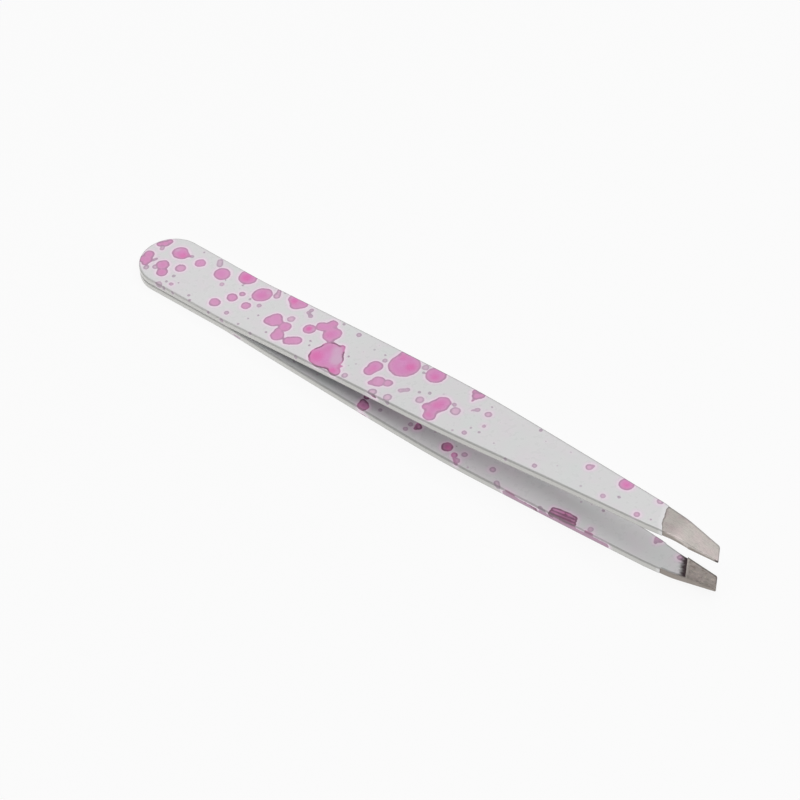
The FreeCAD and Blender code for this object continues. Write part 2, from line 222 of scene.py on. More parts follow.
class Loop:
    """The rows round a cross-section: the outer face, one edge, the inner face and the other edge.

    across is the place on a face from -1 to 1, out the distance outside the faces' borders, level
    1 at the outer face and 0 at the inner one, and shift what the rounded edges add to the height.
    """

    def __init__(self, face_rows, radius, thickness):
        face = np.linspace(1, -1, face_rows)
        turn = np.linspace(0, math.pi / 2, ROUND_ROWS)[1:]
        sides = np.linspace(1, 0, SIDE_ROWS)[1:-1]
        edge_level = np.concatenate([np.ones(len(turn)), sides, np.zeros(len(turn))])
        edge_out = np.concatenate([np.sin(turn), np.ones(len(sides)), np.sin(turn[::-1])]) * radius
        edge_shift = np.concatenate(
            [-(1 - np.cos(turn)), 1 - 2 * sides, 1 - np.cos(turn[::-1])]
        ) * radius
        round_length = radius * math.pi / 2
        straight = thickness - 2 * radius
        edge_arc = np.concatenate(
            [
                radius * turn,
                round_length + (1 - sides) * straight,
                2 * round_length + straight - radius * turn[::-1],
            ]
        )
        around = 2 * round_length + straight
        none = np.zeros(face_rows)
        edge_rows = len(edge_level)
        self.across = np.concatenate([face, -np.ones(edge_rows), -face, np.ones(edge_rows)])
        self.out = np.concatenate([none, edge_out, none, edge_out[::-1]])
        self.level = np.concatenate([none + 1, edge_level, none, edge_level[::-1]])
        self.shift = np.concatenate([none, edge_shift, none, edge_shift[::-1]])
        # how far round the edge a row is from the border of the outer face, and of the inner one
        self.from_outer = np.concatenate([none, edge_arc, none + around, edge_arc[::-1]])
        to_inner = around - edge_arc
        self.from_inner = np.concatenate([none + around, to_inner, none, to_inner[::-1]])
        # from a border to the middle of its rounding, and from a row to the nearest such middle
        self.to_face = radius * math.pi / 4
        self.from_arris = np.abs(np.minimum(self.from_outer, self.from_inner) - self.to_face)
        self.steepness = self.out / radius
        self.outer = slice(0, face_rows)
        self.inner = slice(face_rows + edge_rows, 2 * face_rows + edge_rows)
        self.side = np.sign(self.across)


class Shell:
    """A closed mesh in the making, with numbers kept for each vertex."""

    def __init__(self):
        self.points = []
        self.values = []
        self.faces = []
        self.count = 0

    def add(self, points, **values):
        """Add points and their values, and return their numbers in the points' own layout."""
        layout = points.shape[:-1]
        self.points.append(points.reshape(-1, 3))
        self.values.append(
            {name: np.broadcast_to(value, layout).ravel() for name, value in values.items()}
        )
        numbers = self.count + np.arange(np.prod(layout)).reshape(layout)
        self.count += numbers.size
        return numbers

    def weave(self, numbers, closed=False):
        """Quads between the neighbours of a grid of vertices."""
        if closed:
            numbers = np.concatenate([numbers, numbers[:, :1]], axis=1)
        corners = (numbers[:-1, :-1], numbers[:-1, 1:], numbers[1:, 1:], numbers[1:, :-1])
        self.faces += np.stack([corner.ravel() for corner in corners], axis=1).tolist()

    def cap(self, loop, outer, inner, last):
        """Close a loop between two rows that face each other: a strip of quads and the two edges."""
        strip = np.stack([outer, inner[::-1]]) if last else np.stack([inner[::-1], outer])
        self.weave(strip)
        rows = list(loop)
        near = rows[rows.index(outer[-1]) : rows.index(inner[0]) + 1]
        far = rows[rows.index(inner[-1]) :] + [outer[0]]
        for edge in (near, far):
            self.faces.append([int(n) for n in (edge[::-1] if last else edge)])

    def make(self, name, place, mirrored):
        """The finished object, placed in the CAD frame."""
        points = np.concatenate(self.points)
        rest = points.copy()
        faces = self.faces
        if mirrored:
            points = points * (1, 1, -1)
            faces = [face[::-1] for face in faces]
            rest = rest + LOWER_TEXTURE_SHIFT
        mesh = bpy.data.meshes.new(name)
        mesh.from_pydata((points * MM).tolist(), [], faces)
        mesh.transform(place)
        for key in self.values[0]:
            attribute = mesh.attributes.new(key, "FLOAT", "POINT")
            column = np.concatenate([values[key] for values in self.values])
            attribute.data.foreach_set("value", column.astype(np.float32))
        attribute = mesh.attributes.new("rest", "FLOAT_VECTOR", "POINT")
        attribute.data.foreach_set("vector", rest.astype(np.float32).ravel())
        work = bmesh.new()
        work.from_mesh(mesh)
        bmesh.ops.remove_doubles(work, verts=work.verts, dist=MERGE_DISTANCE)
        bmesh.ops.recalc_face_normals(work, faces=work.faces)
        work.to_mesh(mesh)
        work.free()
        mesh.shade_smooth()
        mesh.set_sharp_from_angle(angle=SHARP_ANGLE)
        made = bpy.data.objects.new(name, mesh)
        bpy.context.scene.collection.objects.link(made)
        smoothing = made.modifiers.new("weighted_normals", "WEIGHTED_NORMAL")
        smoothing.keep_sharp = True
        return made


# ---------------------------------------------------------------- the droplets

# Each droplet is a tone and its lobes. The tone goes from 0 for a grey speck, by 0.2 for a pale
# mauve, to 1 for full pink with a dark rim, and above that deeper. A lobe is its place along the arm,
# its place across it and its radius, in millimetres, and a long lobe also has its other end. A place
# across that is beyond the face's border is on the side. The lobes of a droplet run together, and
# droplets that overlap keep a line between them.
UPPER_OUTER_DROPS = [
    (0.8, [(0.8, 1.45, 0.42), (1.35, 2.0, 0.6), (1.65, 2.7, 0.45)]),
    (0.3, [(1.7, 0.95, 0.3, 1.55, 1.35)]),
    (0.9, [(1.05, -0.95, 0.74), (1.55, -1.85, 0.72), (0.9, -2.2, 0.6), (1.8, -2.6, 0.42)]),
    (0.2, [(2.3, -1.45, 0.22, 2.5, -1.0)]),
    (0.1, [(2.5, -3.1, 0.42)]),
    (0.7, [(4.0, -1.4, 0.95)]),
    (0.8, [(4.9, -2.5, 0.82)]),
    (0.2, [(3.4, -2.3, 0.4)]),
    (0.9, [(4.3, 1.9, 1.15), (4.9, 1.75, 0.72), (5.5, 2.15, 0.16, 5.9, 2.2)]),
    (0.1, [(6.1, 2.3, 0.28)]),
    (0.7, [(7.9, 2.0, 0.78)]),
    (0.5, [(6.4, -0.4, 0.76)]),
    (0.1, [(9.9, 3.9, 0.42, 10.3, 3.3)]),
    (0.8, [(11.75, 2.2, 1.17)]),
    (0.15, [(13.1, 0.6, 0.38)]),
    (0.1, [(6.1, -4.6, 0.55)]),
    (0.3, [(7.5, -3.5, 0.33)]),
    (0.7, [(15.9, -0.47, 0.77)]),
    (0.6, [(14.65, -2.6, 0.79)]),
    (0.2, [(17.3, -3.15, 0.37)]),
    (0.95, [(15.05, 3.78, 1.35)]),
    (0.95, [(18.8, 2.15, 1.25), (19.05, 2.5, 1.18)]),
    (0.5, [(16.6, 0.85, 0.45)]),
    (0.6, [(18.5, -0.6, 0.7)]),
    (0.15, [(20.0, 0.4, 0.36)]),
    (0.4, [(20.8, 3.2, 0.5), (20.65, 3.7, 0.3, 20.35, 4.15)]),
    (0.95, [(23.3, 4.1, 1.0), (24.65, 3.9, 0.9), (24.1, 3.25, 0.83)]),
    (0.8, [(28.75, 0.62, 0.9)]),
    (0.2, [(26.6, 3.65, 0.32), (26.5, 3.05, 0.26), (27.25, 2.65, 0.36)]),
    (0.75, [(23.6, -0.2, 0.9), (23.1, -1.1, 0.75), (23.9, -1.1, 0.72), (24.5, -0.7, 0.6)]),
    (0.75, [(25.7, -0.9, 0.9)]),
    (0.7, [(26.0, -2.75, 0.97), (25.5, -1.9, 0.55)]),
    (0.3, [(25.43, 0.78, 0.57)]),
    (0.65, [(27.85, -2.75, 0.75, 28.8, -2.05)]),
    (
        0.85,
        [
            (30.75, 3.15, 0.7),
            (29.85, 1.95, 0.85, 30.6, 2.3),
            (32.0, 1.65, 1.2),
            (31.85, 1.1, 0.95),
            (32.5, 0.4, 0.4),
        ],
    ),
    (
        1.0,
        [
            (33.6, -2.45, 1.87),
            (33.6, -0.9, 1.4),
            (34.4, -3.0, 1.35),
            (34.7, -0.7, 1.0),
            (34.75, 0.4, 0.35),
            (35.1, -2.15, 1.5),
            (35.8, -3.2, 0.75, 36.87, -3.8),
            (36.95, -2.5, 0.16, 36.5, -2.9),
        ],
    ),
    (0.15, [(38.4, -3.6, 0.44)]),
    (0.1, [(35.0, 3.45, 0.4)]),
    (0.85, [(40.65, 0.0, 1.0), (40.5, -1.1, 0.82)]),
    (0.6, [(42.75, -2.0, 0.92), (42.0, -2.75, 0.38)]),
    (0.5, [(43.97, -1.5, 0.66)]),
    (0.1, [(41.0, 1.6, 0.35)]),
    (0.2, [(43.35, -3.95, 0.6)]),
    (1.1, [(43.5, -4.4, 0.22, 44.1, -4.45)]),
    (0.95, [(43.65, 2.3, 2.15), (42.2, 3.95, 0.5)]),
    (0.1, [(46.2, 3.6, 0.5)]),
    (0.9, [(48.2, 3.2, 1.4)]),
    (0.15, [(46.2, -1.65, 0.32), (46.85, -1.0, 0.26), (46.2, -1.65, 0.2, 46.85, -1.0)]),
    (0.25, [(49.3, -1.55, 0.6)]),
    (
        0.95,
        [
            (52.05, -0.3, 1.1),
            (52.3, -1.0, 0.9),
            (51.6, -1.3, 1.0),
            (50.7, -2.05, 0.55),
            (51.8, -2.2, 0.85),
            (52.1, -3.1, 0.87),
        ],
    ),
    (0.15, [(53.5, 0.35, 0.32)]),
    (0.3, [(54.35, -0.55, 0.7)]),
    (0.15, [(45.6, -3.6, 0.6)]),
    (0.7, [(54.2, 3.7, 0.35), (55.4, 3.7, 0.45), (54.9, 3.2, 0.6), (55.0, 2.2, 0.18)]),
    (0.15, [(55.95, 0.75, 0.18, 56.4, 1.2), (56.6, 1.35, 0.27)]),
    (0.3, [(58.15, 1.4, 0.48)]),
    (0.2, [(59.0, -0.55, 0.3)]),
    (0.15, [(57.6, -2.9, 0.36)]),
    (0.15, [(68.3, -2.35, 0.36)]),
    (0.4, [(74.0, 1.45, 0.48), (74.3, 1.9, 0.15)]),
    (0.95, [(79.4, 1.85, 1.0)]),
    (0.2, [(78.2, -1.5, 0.36)]),
    (0.4, [(83.3, -1.55, 0.43)]),
    (0.3, [(84.4, 1.9, 0.45)]),
]

# Specks, each with its place along and across the arm and its radius.
UPPER_OUTER_SPECKS = [
    (6.7, -2.1, 0.25), (8.1, -2.7, 0.14), (10.9, -3.7, 0.22), (11.6, -4.35, 0.2), (6.9, 3.9, 0.18),
    (8.7, -4.7, 0.25), (7.1, -4.8, 0.3), (15.15, -4.6, 0.22), (17.5, -4.7, 0.35), (21.3, 4.3, 0.2),
    (18.1, 0.7, 0.2), (21.2, -1.15, 0.2), (20.5, -2.4, 0.16), (24.3, -3.1, 0.18), (20.1, -3.95, 0.2),
    (22.6, -4.5, 0.25), (30.4, -1.1, 0.18), (30.8, -1.8, 0.2), (15.5, 2.15, 0.14), (15.6, 1.45, 0.14),
    (36.5, -0.55, 0.18), (40.35, 2.4, 0.18), (32.0, 3.95, 0.2), (38.5, 3.35, 0.12), (46.6, 2.7, 0.22),
    (48.4, -0.5, 0.22), (49.6, 0.15, 0.25), (59.1, -1.75, 0.2), (57.75, 2.75, 0.16),
    (57.8, -1.8, 0.2), (64.6, -3.6, 0.25), (65.3, 3.05, 0.25), (79.9, -0.5, 0.2), (85.15, -1.2, 0.12),
    (6.6, -3.5, 0.24), (30.6, -4.6, 0.3), (46.1, -4.4, 0.3), (37.6, 1.2, 0.1), (60.3, 1.2, 0.12),
    (13.0, 1.5, 0.16), (14.2, 0.2, 0.1), (61.8, -2.2, 0.12), (66.9, 1.9, 0.1), (70.6, 2.2, 0.14),
]

# Washes, each with its place along and across the arm, its radius and its amount: above 0 the ink is
# thin and pale, and below 0 it is hotter.
UPPER_OUTER_WASHES = [
    (3.7, 2.1, 0.5, 0.8),
    (5.0, 1.7, 0.8, -0.7),
    (12.2, 2.4, 0.9, 0.25),
    (14.9, 3.6, 0.8, -0.9),
    (19.3, 3.0, 0.5, 0.5),
    (18.8, 2.1, 0.6, -0.4),
    (23.5, 3.7, 0.7, -0.9),
    (24.5, 3.7, 0.6, 0.5),
    (28.7, 0.65, 0.4, -1.4),
    (29.35, 0.85, 0.4, 0.8),
    (31.6, 1.2, 0.9, -0.3),
    (35.6, -1.9, 1.2, 1.1),
    (34.4, -0.4, 0.9, 0.7),
    (33.0, -2.9, 1.3, -0.9),
    (36.4, -3.8, 0.7, -1.0),
    (40.7, -0.5, 0.7, -0.5),
    (43.1, 2.1, 0.6, 0.35),
    (44.5, 2.5, 0.8, -0.9),
    (42.6, 3.4, 0.7, -0.6),
    (48.3, 2.8, 0.7, -0.6),
    (51.9, -0.9, 0.9, -0.6),
    (51.8, -3.0, 0.5, -0.5),
    (79.5, 1.7, 0.6, -0.7),
]

LOWER_INNER_DROPS = [
    (1.2, [(41.4, -3.7, 0.8), (40.9, -3.1, 0.42)]),
    (1.1, [(40.8, -2.2, 0.4)]),
    (0.1, [(48.2, -2.3, 0.33)]),
    (0.1, [(48.2, -3.3, 0.33)]),
    (1.15, [(49.35, -1.95, 0.43), (49.15, -2.5, 0.2), (48.95, -1.65, 0.2)]),
    (1.5, [(54.3, -2.35, 0.78)]),
    (1.0, [(55.9, -2.9, 0.45)]),
    (0.9, [(56.2, -3.2, 0.25, 56.9, -3.9)]),
    (0.4, [(56.7, -3.4, 0.45)]),
    (0.3, [(56.85, -2.0, 0.42)]),
    (0.2, [(61.25, -1.75, 0.44)]),
    (0.1, [(63.0, -3.2, 0.35, 63.4, -3.6)]),
    (0.45, [(64.6, -4.0, 0.4, 68.0, -4.0)]),
    (1.1, [(65.9, -3.8, 0.15, 69.2, -3.7)]),
    (1.2, [(64.6, -3.5, 0.1, 65.9, -3.5)]),
    (0.1, [(69.8, -3.1, 0.3), (70.4, -3.3, 0.25)]),
    (1.0, [(71.3, -2.2, 0.35, 72.7, -1.9)]),
    (1.05, [(72.9, -1.8, 0.32, 74.3, -1.75)]),
    (1.2, [(71.3, -2.7, 0.3, 74.5, -2.15)]),
    (1.4, [(71.3, -3.2, 0.3, 74.7, -2.65)]),
    (1.0, [(73.0, -3.3, 0.3, 74.8, -3.0)]),
    (0.55, [(70.0, -3.9, 0.4, 79.6, -3.1)]),
    (1.2, [(66.6, -4.4, 0.2, 69.6, -4.2)]),
    (1.1, [(71.0, -4.15, 0.18, 79.2, -3.5)]),
    (1.0, [(41.2, -5.25, 0.15, 42.4, -5.22)]),
    (0.1, [(19.6, -5.1, 0.14, 20.6, -5.15)]),
    (0.2, [(76.9, -2.0, 0.4)]),
    (1.0, [(76.6, -2.7, 0.18, 77.5, -2.6)]),
    (0.4, [(84.9, 1.9, 0.3), (84.3, 1.9, 0.4), (84.5, 1.2, 0.2)]),
    (0.35, [(88.3, 1.1, 0.45)]),
]

LOWER_INNER_SPECKS = [(43.6, -2.85, 0.3), (76.35, 1.5, 0.22), (74.6, 1.4, 0.1), (55.2, -1.5, 0.12)]

LOWER_INNER_WASHES = [(54.5, -2.3, 0.5, -0.8), (73.0, -2.0, 0.5, -0.6), (56.3, -3.3, 0.3, 0.5)]

# How near two lobes of a droplet are when they run together, and a distance that is out of reach.
BOND = 0.5
FAR_AWAY = 3.0

# A made-up splatter: how much it crowds towards its start, the smallest radius, how much larger a
# droplet can be and how rare that is, and the radius from which it has further lobes.
CROWDING = 1.5
SMALLEST_DROP = 0.25
DROP_RANGE = 1.3
DROP_RARITY = 3
LOBED_FROM = 0.6


def scattered(seed, count, start, end, near_side=-1.0):
    """Droplets for a face whose own aren't known: many small ones and a few large, in loose groups.

    near_side is how far they reach towards the side with negative Y, -1 being its edge.
    """
    draw = np.random.default_rng(seed)
    drops = []
    for _ in range(count):
        along = start + (end - start) * draw.random() ** CROWDING
        across = draw.uniform(near_side, 1) * Outline.half_width(along)
        size = SMALLEST_DROP + DROP_RANGE * draw.random() ** DROP_RARITY
        lobes = [(along, across, size)]
        for _ in range(draw.integers(0, 3) if size > LOBED_FROM else 0):
            turn = draw.uniform(0, 2 * math.pi)
            away = size * draw.uniform(0.9, 1.4)
            lobe_along = along + away * math.cos(turn)
            lobe_across = across + away * math.sin(turn)
            lobes.append((lobe_along, lobe_across, size * draw.uniform(0.4, 0.9)))
        tone = min(1, 0.1 + size * 0.7) * draw.uniform(0.6, 1)
        drops.append((tone, lobes))
    return drops


def specks(places):
    """Grey specks as droplets of tone 0."""
    return [(0.0, [place]) for place in places]


def lobe_distance(flat, along, across, radius, end_along=None, end_across=None):
    """The distance of points from the outline of a round lobe, or of a long one with two ends."""
    away = flat - (along, across)
    if end_along is not None:
        run = np.array([end_along - along, end_across - across])
        share = np.clip(away @ run / (run @ run), 0, 1)
        away = away - share[..., None] * run
    return np.hypot(away[..., 0], away[..., 1]) - radius


def printed(drops, washes, flat):
    """What the print is at points of a face laid flat.

    print is the distance from the outline of the nearest droplet, negative inside it, tone is its
    tone, seam how much further the next droplet is, and wash the amount of the washes.
    """
    nearest = np.full(flat.shape[:-1], FAR_AWAY)
    second = np.full(flat.shape[:-1], FAR_AWAY)
    tone = np.zeros(flat.shape[:-1])
    for strength, lobes in drops:
        joined = lobe_distance(flat, *lobes[0])
        for lobe in lobes[1:]:
            away = lobe_distance(flat, *lobe)
            overlap = np.maximum(BOND - np.abs(joined - away), 0) / BOND
            joined = np.minimum(joined, away) - overlap**2 * BOND / 4
        closer = joined < nearest
        tone[closer] = strength
        second = np.minimum(second, np.maximum(joined, nearest))
        nearest = np.minimum(nearest, joined)
    wash = np.zeros(flat.shape[:-1])
    for along, across, radius, amount in washes:
        away = np.hypot(flat[..., 0] - along, flat[..., 1] - across) / radius
        wash += amount * np.exp(-(away**2))
    return {"print": nearest, "tone": tone, "seam": second - nearest, "wash": wash}


# ---------------------------------------------------------------- the lacquered shanks

def station_positions():
    """Positions of the cross-sections behind the head's arc, closer together where the coat ends."""
    run = np.arange(HEAD_RADIUS + STEP, LACQUER_END - COAT_FADE, STEP)
    turn = np.linspace(0, math.pi / 2, FADE_STATIONS)
    fade = LACQUER_END - COAT_FADE + COAT_FADE * np.sin(turn)
    return np.concatenate([run, fade])


def add_lip(shell, loop, coat_end, start, face_y, inner_print):
    """Run the inner lacquer on over the knuckle to the start of the land, and return its root.

    coat_end holds the numbers of the inner face's last row, which begins at start and face_y.
    """
    part = np.linspace(0, 1, LIP_STATIONS + 1)[:, None] ** LIP_CROWDING
    x = start + part * (LAND_START - SLANT * face_y - start)
    width = Outline.half_width(x, COAT) - COAT_EDGE
    y = loop.across[loop.inner] * width
    x = start + part * (LAND_START - SLANT * y - start)
    values = printed(*inner_print, np.stack([x, y], axis=-1))
    values["to_land"] = LAND_START - SLANT * y - x
    values["arris"] = width - np.abs(y)
    values["side"] = np.zeros_like(x)
    values["to_end"] = np.full_like(x, FAR_AWAY)
    values["gap"] = np.zeros_like(x)
    beyond = {key: value[1:] for key, value in values.items()}
    top = shell.add(np.stack([x, y, Profile.height(x, -COAT)], axis=-1)[1:], **beyond)
    root = shell.add(np.stack([x, y, Profile.height(x, LIP_ROOT)], axis=-1), **values)
    top = np.concatenate([coat_end, top])
    shell.weave(top)
    shell.weave(root[:, ::-1])
    shell.weave(np.stack([root[:, 0], top[:, 0]], axis=1))
    shell.weave(np.stack([top[:, -1], root[:, -1]], axis=1))
    shell.weave(np.stack([top[-1], root[-1]]))
    return root


def make_shank(name, outer_print, inner_print, place, mirrored):
    """An arm's lacquered length in one piece, with the lip of lacquer on the inside of the jaw."""
    loop = Loop(FACE_ROWS, COAT_EDGE, GAUGE + 2 * COAT)
    radius = HEAD_RADIUS + COAT - COAT_EDGE

    # the head: cross-sections fan out from its end, and the edges point away from its centre
    angle = np.linspace(0, math.pi / 2, HEAD_STATIONS)[:, None]
    sine, cosine = np.sin(angle), np.cos(angle)
    head_x = HEAD_RADIUS - (radius + loop.out) * cosine
    head_y = loop.across * radius * sine + loop.side * loop.out * sine

    # the rest: square to the arm, then leaning more and more until they lie along the coat's end
    position = station_positions()[:, None]
    lean = np.clip((position - SHEAR_START) / (LACQUER_END - SHEAR_START), 0, 1)
    worn = np.clip((position - LACQUER_END + COAT_FADE) / COAT_FADE, 0, 1)
    thinned = COAT_THINNED * (1 - np.sqrt(1 - worn**2)) * (loop.from_inner > 0)
    film = COAT * (1 - thinned)

    def widened(x):
        return loop.across * (Outline.half_width(x, film) - COAT_EDGE) + loop.side * loop.out

    tail_x = position + lean * (lacquer_end(widened(position)) - LACQUER_END)
    tail_y = widened(tail_x)

    x = np.concatenate([head_x, tail_x])
    y = np.concatenate([head_y, tail_y])
    film = np.concatenate([np.full_like(head_x, COAT), film])
    outer_z = Profile.height(x, GAUGE + film)
    inner_z = np.maximum(Profile.height(x, -COAT), SEAM_CLEARANCE)
    z = loop.level * outer_z + (1 - loop.level) * inner_z + loop.shift

    # the print is laid flat: a row on an edge is as far out as it is round the edge
    def laid_flat(reach):
        head_reach = (loop.across * radius + loop.side * reach) * sine
        head = (HEAD_RADIUS - (radius + reach) * cosine, head_reach)
        tail = (tail_x, tail_y + loop.side * (reach - loop.out))
        return np.stack([np.concatenate(pair) for pair in zip(head, tail)], axis=-1)

    on_outer = printed(*outer_print, laid_flat(loop.from_outer))
    on_inner = printed(*inner_print, laid_flat(loop.from_inner))
    face = np.where(loop.out > 0, 0, np.where(loop.level > 0.5, 1, -1))
    use_outer = (face > 0) | ((face == 0) & (on_outer["print"] < on_inner["print"]))
    values = {key: np.where(use_outer, on_outer[key], on_inner[key]) for key in on_outer}
    head_border = radius - radius * np.hypot(cosine, loop.across * sine)
    border = np.concatenate([head_border, tail_y[:, :1] - np.abs(tail_y)])
    values["arris"] = np.where(face == 0, loop.from_arris, border + loop.to_face)
    values["to_end"] = np.where(face < 0, FAR_AWAY, lacquer_end(y) - x)
    shade = smooth_step(x, *GAP_SHADE) * smooth_step(border, *GAP_SHADE_DEPTH)
    values["gap"] = np.where(face < 0, shade, 0)
    # side is how steep a row is; by it the lacquer takes painted shade on the side faces
    values["side"] = loop.steepness
    values["to_land"] = FAR_AWAY

    shell = Shell()
    numbers = shell.add(np.stack([x, y, z], axis=-1), **values)
    shell.weave(numbers, closed=True)

    # the inner lacquer goes on as a lip, whose root is inside the steel
    inner_end = numbers[-1:, loop.inner]
    end_x, end_y = tail_x[-1, loop.inner], tail_y[-1, loop.inner]
    root = add_lip(shell, loop, inner_end, end_x, end_y, inner_print)

    # the end of the coat, from the outer face down to the lip's root
    outer = numbers[-1, loop.outer]
    shell.weave(np.stack([outer, root[0, ::-1]]))
    rows = numbers[-1].tolist()
    near = rows[loop.outer.stop - 1 : loop.inner.start + 1] + [int(root[0, 0])]
    far = [int(root[0, -1])] + rows[loop.inner.stop - 1 :] + [rows[0]]
    shell.faces += [near, far]
    return shell.make(name, place, mirrored)


# ---------------------------------------------------------------- the steel jaws

def make_jaw(name, place, mirrored):
    """The bare end of an arm, from inside the lacquer to the slanted tip, with its ground land."""
    loop = Loop(JAW_ROWS, STEEL_EDGE, GAUGE)
    turn = np.linspace(0, math.pi / 2, ROUND_ROWS)
    tip_turn = np.linspace(0, math.pi / 2, TIP_STATIONS)

    # stations: before the land, over its rounded step, along it, and round the corners of the tip
    root = np.linspace(JAW_START, LAND_START, JAW_ROOT_STATIONS)
    land = LAND_START + STEEL_EDGE * (1 - np.cos(turn))
    beak = np.linspace(LAND_START + 2 * STEEL_EDGE, TIP - 1.2 * TIP_CORNER, BEAK_STATIONS)
    tip = TIP - TIP_CORNER * (1 - np.sin(tip_turn))
    position = np.concatenate([root, land, beak, tip])[:, None]
    on_land = (np.arange(len(position)) >= len(root))[:, None]
    level_off = 1 - np.clip((position - LAND_START) / STEEL_EDGE, 0, 1)
    chamfer = np.where(on_land, STEEL_EDGE * (1 - np.sqrt(1 - level_off**2)), 0)

    def rounded(radius):
        """How much a corner of this radius takes off towards the tip."""
        into = np.clip((position - TIP + radius) / radius, 0, 1)
        return radius * (1 - np.sqrt(1 - into**2))

    def widened(x):
        reach = Outline.half_width(x) - STEEL_EDGE
        return loop.across * (reach - rounded(TIP_CORNER)) + loop.side * loop.out

    x = position - SLANT * widened(position)
    y = widened(x)
    x = position - SLANT * y
    outer_z = Profile.height(x, GAUGE) - rounded(STEEL_EDGE)
    inner_z = np.where(on_land, land_height(x) + chamfer, Profile.height(x, 0))
    inner_z = inner_z + rounded(STEEL_EDGE)
    z = loop.level * outer_z + (1 - loop.level) * inner_z + loop.shift

    width = Outline.half_width(x)
    border = np.where(loop.out > 0, loop.from_arris, (1 - np.abs(loop.across)) * width)
    arris = np.minimum(border, TIP - position)

    # painted shade darkens the sides, on the upper jaw up to heights that vary along it, and the
    # upper jaw's near corner is dark
    corner = np.hypot(TIP - position, y + width) + FAR_AWAY * (1 - loop.steepness)
    side = loop.steepness
    if mirrored:
        corner = corner + FAR_AWAY
    else:
        side_shade_level = np.interp(position, SIDE_SHADE_PLACES, SIDE_SHADE_LEVELS)
        side = side * smooth_step(loop.level, side_shade_level, side_shade_level - SIDE_SHADE_FADE)
    shell = Shell()
    numbers = shell.add(
        np.stack([x, y, z], axis=-1),
        arris=arris,
        coated=x - lacquer_end(y),
        ground=np.where(on_land, 1.0, 0.0) * (loop.level < 0.5),
        side=side,
        corner=corner,
        past_land=position - LAND_START,
    )
    shell.weave(numbers, closed=True)
    for row, last in ((numbers[0], False), (numbers[-1], True)):
        shell.cap(row, row[loop.outer], row[loop.inner], last)
    return shell.make(name, place, mirrored)


# ---------------------------------------------------------------- materials

def linear(red, green, blue):
    """A linear colour from the 0 to 255 values of a screen colour."""
    return tuple(
        value / 12.92 if value <= 0.04045 else ((value + 0.055) / 1.055) ** 2.4
        for value in (red / 255, green / 255, blue / 255)
    ) + (1.0,)


# the lacquer
WHITE = linear(226, 226, 226)
ROSY_WHITE = linear(229, 221, 227)
GREENISH_WHITE = linear(222, 227, 225)
# the side faces' white in painted shade
SHADED_SIDE_WHITE = linear(205, 204, 200)
CUT_WHITE = linear(240, 239, 240)
GREY_FLECK = linear(196, 194, 198)
PINK_FLECK = linear(212, 190, 206)
OUTER_HALO = linear(233, 219, 230)
INNER_HALO = linear(246, 227, 240)
# the soft dark line of painted shade along the arrises
ARRIS_SHADE = linear(112, 114, 110)
# scorch, together with the painted shadow of the land's step
SCORCH_AND_STEP_SHADOW = linear(62, 46, 50)
GAP_SHADOW = linear(28, 44, 62)

# the ink, in pairs between which it is cloudy, and its rims
GREY_INK = linear(198, 195, 199)
MAUVE_INKS = (linear(226, 196, 214), linear(222, 188, 212))
PINK_INKS = (linear(226, 152, 204), linear(222, 140, 193))
DEEP_INKS = (linear(176, 66, 132), linear(164, 74, 128))
SHORE_INK = linear(222, 168, 201)
HOT_INK = linear(231, 116, 183)
THIN_INK = linear(218, 190, 213)
# the ink on the side faces in painted shade
SHADED_SIDE_INK = linear(140, 124, 132)
MAUVE_RIM = linear(186, 164, 182)
PINK_RIM = linear(186, 142, 172)
STRONG_RIMS = (linear(204, 118, 170), linear(128, 82, 108))

# the steel
BRIGHT_STEELS = (linear(202, 190, 188), linear(194, 190, 184))
GROUND_STEELS = (linear(198, 186, 182), linear(184, 178, 170))
PALE_MOTTLE = linear(222, 210, 200)
DARK_MOTTLE = linear(154, 138, 128)
STEEL_SHINE = linear(228, 220, 214)
STEEL_SCRATCH = linear(140, 132, 130)
STEEL_GRAIN = linear(130, 126, 122)
# the steel's side faces in painted shade
SHADED_STEEL_SIDE = linear(142, 134, 127)
# painted shade along the steel's rims
STEEL_RIM_SHADE = linear(84, 80, 78)
STEP_SHADOW = linear(116, 112, 112)
DARK_CORNER = linear(52, 48, 46)
WELD_TINTS = (linear(150, 140, 128), linear(112, 108, 120))


